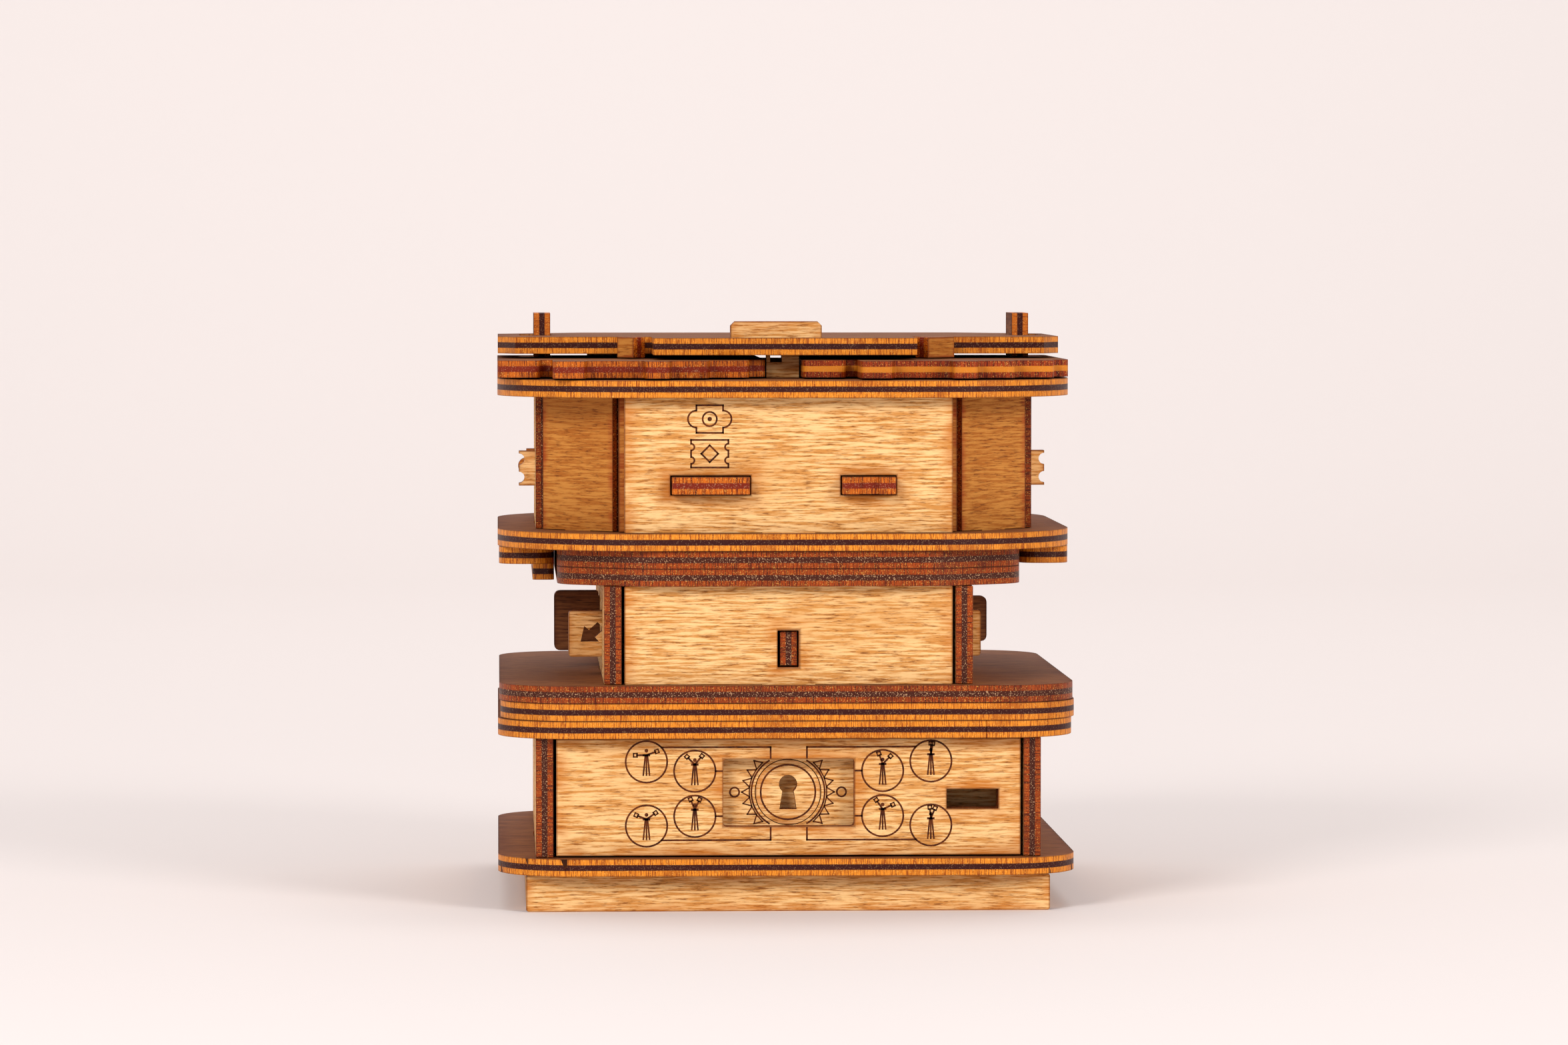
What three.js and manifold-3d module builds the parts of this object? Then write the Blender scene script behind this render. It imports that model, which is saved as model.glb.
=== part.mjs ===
// A tiered puzzle box of laser-cut plywood. Millimetres, +Z up, front towards -Y.
// The origin is the centre of the box's footprint on the table.
import * as THREE from "three";
import { mergeVertices } from "three/addons/utils/BufferGeometryUtils.js";
import Module from "manifold-3d";

const wasm = await Module();
wasm.setup();

// Driving dimensions
const SHEET = 4; // pitch of stacked sheets
const GLUE_GAP = 0.1; // left between glued faces
const THICK = SHEET - GLUE_GAP; // solid thickness of one sheet
const RUN = 0.3; // clearance around a sliding piece
const HALF_PLATE = 65.5; // half the width and half the depth of every full plate
const FOOT_HEIGHT = 8.4;
const LOWER_HEIGHT = 27;
const MIDDLE_HEIGHT = 22.2;
const UPPER_HEIGHT = 30.4;
const TOP_LIFT = 5.3; // from the ceiling up to the top plate
const FACE = 61.5; // front and back faces of the tiers
const LOWER_HALF = 57; // outer faces of the side walls
const MIDDLE_HALF = 41.6;
const UPPER_HALF = 56.8;
const PANEL_HALF = 37; // front panels of the middle and upper tiers
const DRAWER_HALF = 52.4;
const LOCK_Z = 26.7; // centre of the keyhole disc
const DISC_R = 7.35;
const TAB = { length: 12, reach: 3.4, play: 0.2 };

// Levels, each the underside of what stands there
const baseZ = FOOT_HEIGHT;
const lowerZ = baseZ + SHEET;
const deckZ = lowerZ + LOWER_HEIGHT;
const middleZ = deckZ + 3 * SHEET;
const neckZ = middleZ + MIDDLE_HEIGHT;
const floorZ = neckZ + 2 * SHEET;
const upperZ = floorZ + SHEET;
const ceilingZ = upperZ + UPPER_HEIGHT;
const armZ = ceilingZ + SHEET + RUN;
const topZ = ceilingZ + SHEET + TOP_LIFT;
const topFaceZ = topZ + THICK;

const box = new THREE.Group();
const quarter = Math.PI / 4;

// Finishes: pale faces for uprights, darker stained faces for the flat plates, scorched for small bars
const finish = (color) => () => new THREE.MeshStandardMaterial({ color, roughness: 0.6, metalness: 0 });
const pale = finish(0xd9b071);
const amber = finish(0xb9803e);
const plate = finish(0x9a6238);
const scorched = finish(0x6e3318);

// --- Outlines ---

// A closed outline through the points, each corner eased by up to the given radius.
function eased(points, radius) {
  const shape = new THREE.Shape();
  const at = (i) => new THREE.Vector2(...points[(i + points.length) % points.length]);
  points.forEach((_, i) => {
    const corner = at(i);
    const toPrevious = at(i - 1).sub(corner);
    const toNext = at(i + 1).sub(corner);
    const reach = Math.min(radius, toPrevious.length() / 2.01, toNext.length() / 2.01);
    const start = corner.clone().addScaledVector(toPrevious.normalize(), reach);
    const end = corner.clone().addScaledVector(toNext.normalize(), reach);
    if (i === 0) shape.moveTo(start.x, start.y);
    else shape.lineTo(start.x, start.y);
    shape.quadraticCurveTo(corner.x, corner.y, end.x, end.y);
  });
  shape.closePath();
  return shape;
}

// A closed outline with square corners.
const outline = (points) => new THREE.Shape(points.map((p) => new THREE.Vector2(...p)));

const corners = (x0, y0, x1, y1) => [[x0, y0], [x1, y0], [x1, y1], [x0, y1]];
const rectangle = (x0, y0, x1, y1) => outline(corners(x0, y0, x1, y1));
const grown = (x0, y0, x1, y1, by) => rectangle(x0 - by, y0 - by, x1 + by, y1 + by);

// A plate with true arcs at its corners.
function plateOutline(halfWidth, halfDepth, radius, shift = 0) {
  const shape = new THREE.Shape();
  const cx = halfWidth - radius;
  const cy = halfDepth - radius;
  shape.absarc(shift - cx, -cy, radius, -Math.PI, -Math.PI / 2, false);
  shape.absarc(shift + cx, -cy, radius, -Math.PI / 2, 0, false);
  shape.absarc(shift + cx, cy, radius, 0, Math.PI / 2, false);
  shape.absarc(shift - cx, cy, radius, Math.PI / 2, Math.PI, false);
  shape.closePath();
  return shape;
}

// An upright panel from u0 to u1 and z0 to z1, with one tab centred on its top and one on its bottom.
function tabbed(u0, z0, u1, z1, length = TAB.length) {
  const mid = (u0 + u1) / 2;
  const tab0 = mid - length / 2;
  const tab1 = mid + length / 2;
  return outline([
    [u0, z0], [tab0, z0], [tab0, z0 - TAB.reach], [tab1, z0 - TAB.reach], [tab1, z0],
    [u1, z0], [u1, z1], [tab1, z1], [tab1, z1 + TAB.reach], [tab0, z1 + TAB.reach],
    [tab0, z1], [u0, z1],
  ]);
}

// --- Sheets in place ---

function add(name, geometry, look, place = () => {}) {
  const mesh = new THREE.Mesh(geometry, look());
  mesh.name = name;
  place(mesh);
  box.add(mesh);
}

// The outline as a solid of the given depth, standing on z = 0
function prism(shape, depth, curveSegments) {
  const geometry = new THREE.ExtrudeGeometry(shape, { depth, bevelEnabled: false, curveSegments });
  geometry.deleteAttribute("normal");
  geometry.deleteAttribute("uv");
  return geometry;
}

function solid(geometry) {
  const merged = mergeVertices(geometry);
  const vertProperties = merged.attributes.position.array;
  const triVerts = new Uint32Array(merged.index.array);
  return new wasm.Manifold(new wasm.Mesh({ numProp: 3, vertProperties, triVerts }));
}

// A sheet of plywood: its outline, with its holes cut right through
function sheet(shape, smoothness) {
  const cuts = shape.holes;
  shape.holes = [];
  let cutSheet = solid(prism(shape, THICK, smoothness));
  for (const cut of cuts)
    cutSheet = cutSheet.subtract(solid(prism(cut, THICK + 2, smoothness).translate(0, 0, -1)));
  const mesh = cutSheet.getMesh();
  const geometry = new THREE.BufferGeometry();
  geometry.setAttribute("position", new THREE.BufferAttribute(new Float32Array(mesh.vertProperties), 3));
  geometry.setIndex(new THREE.BufferAttribute(new Uint32Array(mesh.triVerts), 1));
  return geometry;
}

// A flat sheet whose underside is at z.
function flat(name, shape, z, look = plate, smoothness = 9) {
  add(name, sheet(shape, smoothness).translate(0, 0, z), look);
}

// An upright sheet. (x, y) lies on its outer face, and turn is that face's angle from the front about Z.
// The outline's first axis runs along the sheet, and its second is height above the table.
function upright(name, shape, { x = 0, y = 0, turn = 0 }, look = pale, smoothness = 9) {
  const across = new THREE.Vector3(Math.cos(turn), Math.sin(turn), 0);
  const out = new THREE.Vector3(Math.sin(turn), -Math.cos(turn), 0);
  const basis = new THREE.Matrix4().makeBasis(across, new THREE.Vector3(0, 0, 1), out);
  const geometry = sheet(shape, smoothness).translate(0, 0, -THICK).applyMatrix4(basis);
  add(name, geometry, look, (mesh) => mesh.position.set(x, y, 0));
}

// The hole that a wall's tab enters in the plate above or below it.
function tabSlot({ x = 0, y = 0, turn = 0, length = TAB.length }) {
  const across = new THREE.Vector2(Math.cos(turn), Math.sin(turn));
  const out = new THREE.Vector2(Math.sin(turn), -Math.cos(turn));
  const centre = new THREE.Vector2(x, y).addScaledVector(out, -THICK / 2);
  const long = length / 2 + TAB.play;
  const short = THICK / 2 + TAB.play;
  return outline([[-1, -1], [1, -1], [1, 1], [-1, 1]].map(([a, b]) => {
    const p = centre.clone().addScaledVector(across, a * long).addScaledVector(out, b * short);
    return [p.x, p.y];
  }));
}

function withHoles(shape, holes) {
  shape.holes.push(...holes);
  return shape;
}

const left = -Math.PI / 2;
const right = Math.PI / 2;
const back = Math.PI;
// A window in a side wall for something that runs from y0 to y1, at either side of the box
const sideWindow = (turn, y0, y1, z0, z1) =>
  turn === right ? grown(y0, z0, y1, z1, RUN) : grown(-y1, z0, -y0, z1, RUN);

// --- Foot and base plate ---

const FOOT_HALF = 59.2;
const FOOT_FACE = 60.5;
const footTop = FOOT_HEIGHT - GLUE_GAP;
const footSideHalf = FOOT_FACE - SHEET;
const footBoard = (half) => eased(corners(-half, 0, half, footTop), 0.8);
upright("plinth_front", footBoard(FOOT_HALF), { y: -FOOT_FACE });
upright("plinth_back", footBoard(FOOT_HALF), { y: FOOT_FACE, turn: back });
upright("plinth_left", footBoard(footSideHalf), { x: -FOOT_HALF, turn: left });
upright("plinth_right", footBoard(footSideHalf), { x: FOOT_HALF, turn: right });

const PLAIN_CORNER = 17;
const lowerWalls = [
  { name: "lower_left_wall", x: -LOWER_HALF, turn: left },
  { name: "lower_right_wall", x: LOWER_HALF, turn: right },
];
const lowerBack = { name: "lower_back_wall", y: FACE - SHEET, turn: back };
const lowerSlots = () => [...lowerWalls, lowerBack].map(tabSlot);
flat("base_plate", withHoles(plateOutline(HALF_PLATE, HALF_PLATE, PLAIN_CORNER), lowerSlots()), baseZ);

// --- Lower tier: a drawer between two side walls ---

const lowerTop = deckZ - GLUE_GAP;
for (const wall of lowerWalls)
  upright(wall.name, tabbed(-FACE, lowerZ, FACE, lowerTop), wall);
const lowerBackHalf = LOWER_HALF - SHEET - GLUE_GAP;
upright(lowerBack.name, tabbed(-lowerBackHalf, lowerZ, lowerBackHalf, lowerTop), lowerBack);

const drawerLow = lowerZ + RUN;
const drawerHigh = deckZ - RUN;
const DRAWER_SIDE_HIGH = 36;
const DRAWER_BACK = 52;
const coinSlot = () => rectangle(35.7, 23.1, 47.4, 27.6);
const window = () => eased(corners(-14.8, 19.2, 14.8, 34.5), 1);
const discHole = new THREE.Shape().absarc(0, LOCK_Z, DISC_R + RUN / 2, 0, 2 * Math.PI, false);
const drawerFace = () => rectangle(-DRAWER_HALF, drawerLow, DRAWER_HALF, drawerHigh);
upright("drawer_front", withHoles(drawerFace(), [window(), coinSlot()]), { y: -FACE });
const lockPanelFace = -FACE + SHEET;
upright("lock_panel", withHoles(drawerFace(), [discHole, coinSlot()]), { y: lockPanelFace }, pale, 32);

// A round head over a neck that widens downwards
function keyhole() {
  const head = { r: 2.05, z: LOCK_Z + 1.8 };
  const neckHalf = 1.3;
  const footHalf = 1.95;
  const footZ = LOCK_Z - 3.9;
  const meet = -Math.acos(neckHalf / head.r);
  const path = new THREE.Shape();
  path.moveTo(-footHalf, footZ);
  path.lineTo(footHalf, footZ);
  path.absarc(0, head.z, head.r, meet, Math.PI - meet, false);
  path.closePath();
  return path;
}
const disc = new THREE.Shape();
disc.absarc(0, LOCK_Z, DISC_R, 0, 2 * Math.PI, false);
upright("lock_disc", withHoles(disc, [keyhole()]), { y: lockPanelFace }, pale, 32);

// The cam is glued behind the disc. Its hub is wider than the disc's hole, and its arm enters the deck
// when it is turned up.
const CAM = { hub: 8.6, arm: 15.3, half: 2.5 };
const camFace = lockPanelFace + SHEET;
const cam = new THREE.Shape();
const camBend = Math.asin(CAM.half / CAM.hub);
cam.absarc(0, LOCK_Z, CAM.hub, camBend, 2 * Math.PI - camBend, false);
cam.lineTo(CAM.arm, LOCK_Z - CAM.half);
cam.lineTo(CAM.arm, LOCK_Z + CAM.half);
cam.closePath();
upright("lock_cam", cam, { y: camFace }, pale, 32);

const innerWallFace = camFace + SHEET + RUN;
const drawerInnerHalf = DRAWER_HALF - SHEET;
const tray = (half) => rectangle(-half, drawerLow, half, DRAWER_SIDE_HIGH);
upright("drawer_inner_wall", tray(drawerInnerHalf - GLUE_GAP), { y: innerWallFace });
upright("drawer_back", tray(drawerInnerHalf - GLUE_GAP), { y: DRAWER_BACK, turn: back });
const sideFront = lockPanelFace + SHEET;
const leftSide = rectangle(-DRAWER_BACK, drawerLow, -sideFront, DRAWER_SIDE_HIGH);
const rightSide = rectangle(sideFront, drawerLow, DRAWER_BACK, DRAWER_SIDE_HIGH);
upright("drawer_left_side", leftSide, { x: -DRAWER_HALF, turn: left });
upright("drawer_right_side", rightSide, { x: DRAWER_HALF, turn: right });
const trayHalf = drawerInnerHalf - GLUE_GAP;
flat("drawer_bottom", rectangle(-trayHalf, innerWallFace + SHEET, trayHalf, DRAWER_BACK - SHEET), drawerLow);

// --- Deck: three sheets, laid a little out of line. The lowest is in two parts. ---

const DECK_SHIFT = { bottom: -0.3, middle: 0.3, top: 0 };
const SEAM_X = 44.3;
const deckHalf = HALF_PLATE - DECK_SHIFT.middle;
const CAM_PLAY = 0.6;
const camReach = Math.hypot(CAM.arm, CAM.half);
// How far to the side the arm's corner is as it enters the deck
const camEntry = Math.sqrt(camReach ** 2 - (deckZ - LOCK_Z) ** 2);
const camSlot = () =>
  rectangle(-CAM.half - CAM_PLAY, camFace - CAM_PLAY, camEntry + CAM_PLAY, camFace + THICK + CAM_PLAY);

// The part of the lowest sheet on one side of the seam
function deckPart(side) {
  const corner = PLAIN_CORNER;
  const shift = DECK_SHIFT.bottom;
  const outer = shift + side * deckHalf;
  const centreX = outer - side * corner;
  const centreY = HALF_PLATE - corner;
  const seam = SEAM_X + side * GLUE_GAP / 2;
  const shape = new THREE.Shape();
  if (side > 0) {
    // The seam crosses the corner's arc, which starts from there.
    const meet = Math.acos((seam - centreX) / corner);
    shape.absarc(centreX, -centreY, corner, -meet, 0, false);
    shape.absarc(centreX, centreY, corner, 0, meet, false);
  } else {
    shape.absarc(centreX, -centreY, corner, -Math.PI, -Math.PI / 2, false);
    shape.lineTo(seam, -HALF_PLATE);
    shape.lineTo(seam, HALF_PLATE);
    shape.absarc(centreX, centreY, corner, Math.PI / 2, Math.PI, false);
  }
  shape.closePath();
  return shape;
}
const leftWallSlot = () => tabSlot(lowerWalls[0]);
const rightWallSlot = () => tabSlot(lowerWalls[1]);
flat("deck_sheet_bottom", withHoles(deckPart(-1), [leftWallSlot(), tabSlot(lowerBack), camSlot()]), deckZ);
flat("deck_sheet_corner", withHoles(deckPart(1), [rightWallSlot()]), deckZ);
flat("deck_sheet_middle", plateOutline(deckHalf, HALF_PLATE, PLAIN_CORNER, DECK_SHIFT.middle), deckZ + SHEET);

const middleWalls = [
  { name: "middle_left_wall", x: -MIDDLE_HALF, turn: left },
  { name: "middle_right_wall", x: MIDDLE_HALF, turn: right },
];
const middleFront = { name: "middle_front", y: -FACE };
const middleBack = { name: "middle_back", y: FACE, turn: back };
const ribs = [
  { name: "middle_rib_left", x: -22, turn: left },
  { name: "middle_rib_right", x: 22, turn: right },
];
const middleSlots = () => [...middleWalls, middleFront, middleBack].map(tabSlot);
const deckTop = withHoles(plateOutline(deckHalf, HALF_PLATE, PLAIN_CORNER, DECK_SHIFT.top), middleSlots());
flat("deck_sheet_top", deckTop, deckZ + 2 * SHEET);

// --- Middle tier: two bars pass from side to side, and a tongue slides in a slot at the front ---

const ARROW = { y: -31, z0: 55.8, z1: 66.4, x0: -49.3, x1: 45.6 };
const KNOB = { y: 2, z0: 57.2, z1: 67.8, x0: -52.3, x1: 49.4, headZ0: 55.3, headZ1: 69.3 };
const TONGUE = { x0: -1.95, z0: 55.5, z1: 63.2, y0: -60.2, y1: -40 };
const middleTop = neckZ - GLUE_GAP;
const barWindows = (turn) =>
  [ARROW, KNOB].map(({ y, z0, z1 }) => sideWindow(turn, y, y + THICK, z0, z1));

for (const wall of middleWalls)
  upright(wall.name, withHoles(tabbed(-FACE, middleZ, FACE, middleTop), barWindows(wall.turn)), wall);
const ribFront = -38;
const ribBack = 50;
for (const rib of ribs) {
  const [u0, u1] = rib.turn === right ? [ribFront, ribBack] : [-ribBack, -ribFront];
  upright(rib.name, withHoles(rectangle(u0, middleZ, u1, middleTop), barWindows(rib.turn)), rib);
}
const tongueSlot = (play) =>
  rectangle(TONGUE.x0 - play, TONGUE.z0 - RUN, TONGUE.x0 + THICK + RUN, TONGUE.z1 + RUN);
const frontSlotPlay = 0.6;
const middlePanel = () => tabbed(-PANEL_HALF, middleZ, PANEL_HALF, middleTop);
upright(middleFront.name, withHoles(middlePanel(), [tongueSlot(frontSlotPlay)]), middleFront);
upright(middleBack.name, middlePanel(), middleBack);
const guidePanel = rectangle(-PANEL_HALF, middleZ, PANEL_HALF, middleTop);
upright("tongue_guide", withHoles(guidePanel, [tongueSlot(RUN)]), { y: -50 });

const tongueProfile = rectangle(TONGUE.y0, TONGUE.z0, TONGUE.y1, TONGUE.z1);
upright("centre_tongue", tongueProfile, { x: TONGUE.x0 + THICK, turn: right }, scorched);

// The arrow cut through the left end of the front bar points down and out.
const ARROW_TIP = { x: -46.5, z: 59.3 };
const arrowhead = [[0, 0], [4.2, 0], [3.3, 1], [5.4, 2.9], [3.9, 4.5], [1.9, 2.7], [0.8, 3.6]];
const arrowCut = outline(arrowhead.map(([x, z]) => [x + ARROW_TIP.x, z + ARROW_TIP.z]));
const arrowBar = eased(corners(ARROW.x0, ARROW.z0, ARROW.x1, ARROW.z1), 1);
upright("arrow_bar", withHoles(arrowBar, [arrowCut]), { y: ARROW.y });
const knobNeck = -MIDDLE_HALF - RUN;
const knobBar = eased(
  [
    [KNOB.x0, KNOB.headZ0], [knobNeck, KNOB.headZ0], [knobNeck, KNOB.z0], [KNOB.x1, KNOB.z0],
    [KNOB.x1, KNOB.z1], [knobNeck, KNOB.z1], [knobNeck, KNOB.headZ1], [KNOB.x0, KNOB.headZ1],
  ],
  1.6,
);
upright("knob_bar", knobBar, { y: KNOB.y }, amber);

// --- Neck: two bowed sheets, with a cleat beyond each end ---

const NECK = { half: 52.6, shift: 0.6, bowHalf: 34, front: -64.5, end: -52, ease: 6 };
const neckOutline = () => {
  const { half, bowHalf, front, end } = NECK;
  const bow = [[-half, end], [-bowHalf, front], [bowHalf, front], [half, end]];
  const round = [...bow, ...bow.map(([x, y]) => [-x, -y])];
  return eased(round.map(([x, y]) => [x + NECK.shift, y]), NECK.ease);
};
flat("neck_sheet_lower", withHoles(neckOutline(), middleSlots()), neckZ);
flat("neck_sheet_upper", neckOutline(), neckZ + SHEET);

const CLEAT = { gap: 0.6, outer: 65.2, half: 40, stepOuter: 57.5, stepHalf: 32 };
function cleat(side, outer, half, radius) {
  const inner = NECK.shift + side * (NECK.half + CLEAT.gap);
  const [x0, x1] = side < 0 ? [-outer, inner] : [inner, outer];
  return eased(corners(x0, -half, x1, half), radius);
}
flat("left_cleat", cleat(-1, CLEAT.outer, CLEAT.half, 7), neckZ + SHEET);
flat("right_cleat", cleat(1, CLEAT.outer, CLEAT.half, 7), neckZ + SHEET);
flat("left_step", cleat(-1, CLEAT.stepOuter, CLEAT.stepHalf, 1.5), neckZ);

// --- Upper tier: an eight-sided ring of walls ---

const UPPER_CORNER = 35;
const FACET = { x: 47.35, y: 46.65, half: 11.1, length: 8 };
const WALL_HALF = 35.8;
const upperFront = { name: "upper_front", y: -FACE };
const upperBack = { name: "upper_back", y: FACE - SHEET, turn: back };
const upperWalls = [
  { name: "upper_left_wall", x: -UPPER_HALF, turn: left },
  { name: "upper_right_wall", x: UPPER_HALF, turn: right },
];
const facets = [
  { name: "facet_front_left", x: -FACET.x, y: -FACET.y, turn: -quarter },
  { name: "facet_front_right", x: FACET.x, y: -FACET.y, turn: quarter },
  { name: "facet_back_left", x: -FACET.x, y: FACET.y, turn: -3 * quarter },
  { name: "facet_back_right", x: FACET.x, y: FACET.y, turn: 3 * quarter },
].map((facet) => ({ ...facet, length: FACET.length }));
const upperSlots = () => [upperFront, upperBack, ...upperWalls, ...facets].map(tabSlot);
const upperPlate = () => withHoles(plateOutline(HALF_PLATE, HALF_PLATE, UPPER_CORNER), upperSlots());
flat("upper_floor", upperPlate(), floorZ, plate, 14);
flat("upper_ceiling", upperPlate(), ceilingZ, plate, 14);

const upperTop = ceilingZ - GLUE_GAP;
const CROSS = { z0: 95, z1: 103, frontX: 60.6, rearX: 58.8, frontY: -26, rearY: -10, notch: 1.3, lobe: 1.9 };
const crossWindows = (turn) =>
  [CROSS.frontY, CROSS.rearY].map((y) => sideWindow(turn, y, y + THICK, CROSS.z0, CROSS.z1));
for (const wall of upperWalls) {
  const shape = tabbed(-WALL_HALF, upperZ, WALL_HALF, upperTop);
  upright(wall.name, withHoles(shape, crossWindows(wall.turn)), wall);
}
for (const facet of facets)
  upright(facet.name, tabbed(-FACET.half, upperZ, FACET.half, upperTop, FACET.length), facet, amber);

// Two flat bars slide through the front and a guide behind it. A wide heel stops each one from coming out.
const BAR_Z = 94.3;
const bars = [
  { name: "front_bar", x: -17.6, half: 8.75 },
  { name: "notched_bar", x: 18, half: 6 },
];
const BAR = { front: -65.2, heel: -37.8, back: -34, heelOut: 2.5 };
const barWindow = ({ x, half }) => grown(x - half, BAR_Z, x + half, BAR_Z + THICK, RUN);
const upperPanel = tabbed(-PANEL_HALF, upperZ, PANEL_HALF, upperTop);
upright(upperFront.name, withHoles(upperPanel, bars.map(barWindow)), upperFront);
const LINING_HALF = 38.2; // nearly meets the ends of the facets
upright(upperBack.name, tabbed(-LINING_HALF, upperZ, LINING_HALF, upperTop), upperBack);
const guideShape = rectangle(-LINING_HALF, upperZ, LINING_HALF, upperTop);
upright("bar_guide", withHoles(guideShape, bars.map(barWindow)), { y: -FACE + SHEET }, amber);

const heel = ({ x, half }) => [
  [x + half, BAR.heel], [x + half + BAR.heelOut, BAR.heel], [x + half + BAR.heelOut, BAR.back],
  [x - half - BAR.heelOut, BAR.back], [x - half - BAR.heelOut, BAR.heel], [x - half, BAR.heel],
];
const [plainBar, cutBar] = bars;
const plainFront = [[plainBar.x - plainBar.half, BAR.front], [plainBar.x + plainBar.half, BAR.front]];
flat(plainBar.name, eased([...plainFront, ...heel(plainBar)], 0.7), BAR_Z, scorched);
const NOTCH = { half: 2.1, depth: 1.6 };
const notchBack = BAR.front + NOTCH.depth;
const cutFront = [
  [cutBar.x - cutBar.half, BAR.front], [cutBar.x - NOTCH.half, BAR.front], [cutBar.x - NOTCH.half, notchBack],
  [cutBar.x + NOTCH.half, notchBack], [cutBar.x + NOTCH.half, BAR.front], [cutBar.x + cutBar.half, BAR.front],
];
flat(cutBar.name, eased([...cutFront, ...heel(cutBar)], 0.4), BAR_Z, scorched);

// Two cross bars, one with a pair of round notches in each end and one with a round lobe on each end
function crossBar(x, endCurve) {
  const { z0, z1 } = CROSS;
  const shape = new THREE.Shape();
  shape.moveTo(-x, z0);
  shape.lineTo(x, z0);
  endCurve(shape, x, 1);
  shape.lineTo(x, z1);
  shape.lineTo(-x, z1);
  endCurve(shape, -x, -1);
  shape.closePath();
  return shape;
}
const crossMid = (CROSS.z0 + CROSS.z1) / 2;
const NOTCH_RISE = 2.1;
function notchedEnd(shape, x, side) {
  for (const z of [crossMid - side * NOTCH_RISE, crossMid + side * NOTCH_RISE])
    shape.absarc(x, z, CROSS.notch, -side * Math.PI / 2, side * Math.PI / 2, true);
}
function lobedEnd(shape, x, side) {
  shape.absarc(x, crossMid, CROSS.lobe, -side * Math.PI / 2, -side * Math.PI / 2 + Math.PI, false);
}
upright("front_cross_bar", crossBar(CROSS.frontX, notchedEnd), { y: CROSS.frontY }, pale, 9);
upright("rear_cross_bar", crossBar(CROSS.rearX, lobedEnd), { y: CROSS.rearY }, amber, 9);

// --- Top: two wavy arms that slide outwards under the top plate, each with a peg through it ---

const ARM_LENGTH = 61;
const ARM_BACK = 24;
const ARM_PITCH = 69.3; // from one arm to the next
const ARM_TRAVEL = 3;
// Along the arm: where each wave of the front edge ends, and how far forward it stands
const waves = [
  [9.7, -50], [12.5, -43], [19.9, -61.5], [33.2, -56.5],
  [38.9, -63], [47.7, -57.5], [57, -51.5], [ARM_LENGTH, -42],
];
function armOutline(x0) {
  const points = [[x0, ARM_BACK]];
  let from = x0;
  for (const [to, y] of waves) {
    points.push([from, y], [x0 + to, y]);
    from = x0 + to;
  }
  points.push([x0 + ARM_LENGTH, ARM_BACK]);
  return eased(points, 1.6);
}
const PEG = { y0: 2, y1: 20, top: 134.4 };
const arms = [
  { side: "left", x: -HALF_PLATE, pegX: -57, out: -1 },
  { side: "right", x: -HALF_PLATE + ARM_PITCH, pegX: 55.2, out: 1 },
];
const CENTRE = { x0: -12.3, x1: 8.6, y: -38, top: 132.9, footX0: -4.1, footX1: 3.4 };
for (const arm of arms) {
  const pegHole = grown(arm.pegX, PEG.y0, arm.pegX + THICK, PEG.y1, 0.1);
  const shape = armOutline(arm.x);
  shape.holes.push(pegHole);
  flat(arm.side + "_arm", shape, armZ, scorched, 4);
  upright(
    arm.side + "_peg",
    rectangle(PEG.y0, armZ, PEG.y1, PEG.top),
    { x: arm.pegX + THICK, turn: right },
    scorched,
  );
}

// The top plate is a wide bar with a broad tongue towards the front.
const TOP = { left: 65.4, right: 64.6, shoulder: -24, back: 52, chamfer: 4, rearChamfer: 20 };
const TONGUE_EDGE = { half: 30, y: -46 };
const TOP_BOW = 0.8;
function topOutline() {
  const { left: west, right: east, shoulder, back: rear, chamfer, rearChamfer } = TOP;
  const { half: tongueHalf, y: tongue } = TONGUE_EDGE;
  const shape = new THREE.Shape();
  shape.moveTo(-west, shoulder + 2 * chamfer);
  shape.lineTo(-west + chamfer, shoulder);
  shape.lineTo(-tongueHalf, shoulder);
  shape.lineTo(-tongueHalf, tongue + TOP_BOW);
  shape.quadraticCurveTo(0, tongue - TOP_BOW, tongueHalf, tongue + TOP_BOW);
  shape.lineTo(tongueHalf, shoulder);
  shape.lineTo(east - chamfer, shoulder);
  shape.lineTo(east, shoulder + 2 * chamfer);
  shape.lineTo(east, rear - rearChamfer);
  shape.lineTo(east - rearChamfer, rear);
  shape.lineTo(-west + rearChamfer, rear);
  shape.lineTo(-west, rear - rearChamfer);
  shape.closePath();
  return shape;
}
const pegSlots = arms.map(({ pegX, out }) => {
  const reach = out * ARM_TRAVEL;
  return rectangle(
    Math.min(pegX, pegX + reach) - RUN,
    PEG.y0 - RUN,
    Math.max(pegX, pegX + reach) + THICK + RUN,
    PEG.y1 + RUN,
  );
});
const centreSlot = rectangle(CENTRE.x0 - 0.1, CENTRE.y - 0.1, CENTRE.x1 + 0.1, CENTRE.y + THICK + 0.1);
flat("top_plate", withHoles(topOutline(), [...pegSlots, centreSlot]), topZ);

// The centre upright stands on the ceiling between the arms and rises through the top plate.
// A small window in it shows daylight just under the top plate.
const shoulderZ = topZ - GLUE_GAP;
const centreFoot = ceilingZ + SHEET;
const centreUpright = outline([
  [CENTRE.footX0, centreFoot], [CENTRE.footX1, centreFoot], [CENTRE.footX1, shoulderZ],
  [CENTRE.x1, shoulderZ], [CENTRE.x1, CENTRE.top - 1], [CENTRE.x1 - 1, CENTRE.top],
  [CENTRE.x0 + 1, CENTRE.top], [CENTRE.x0, CENTRE.top - 1], [CENTRE.x0, shoulderZ],
  [CENTRE.footX0, shoulderZ],
]);
const DAYLIGHT = { x0: -3.2, x1: -0.6, drop: 1.6, bridge: 0.1 };
const daylight = rectangle(DAYLIGHT.x0, shoulderZ - DAYLIGHT.drop, DAYLIGHT.x1, shoulderZ - DAYLIGHT.bridge);
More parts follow.
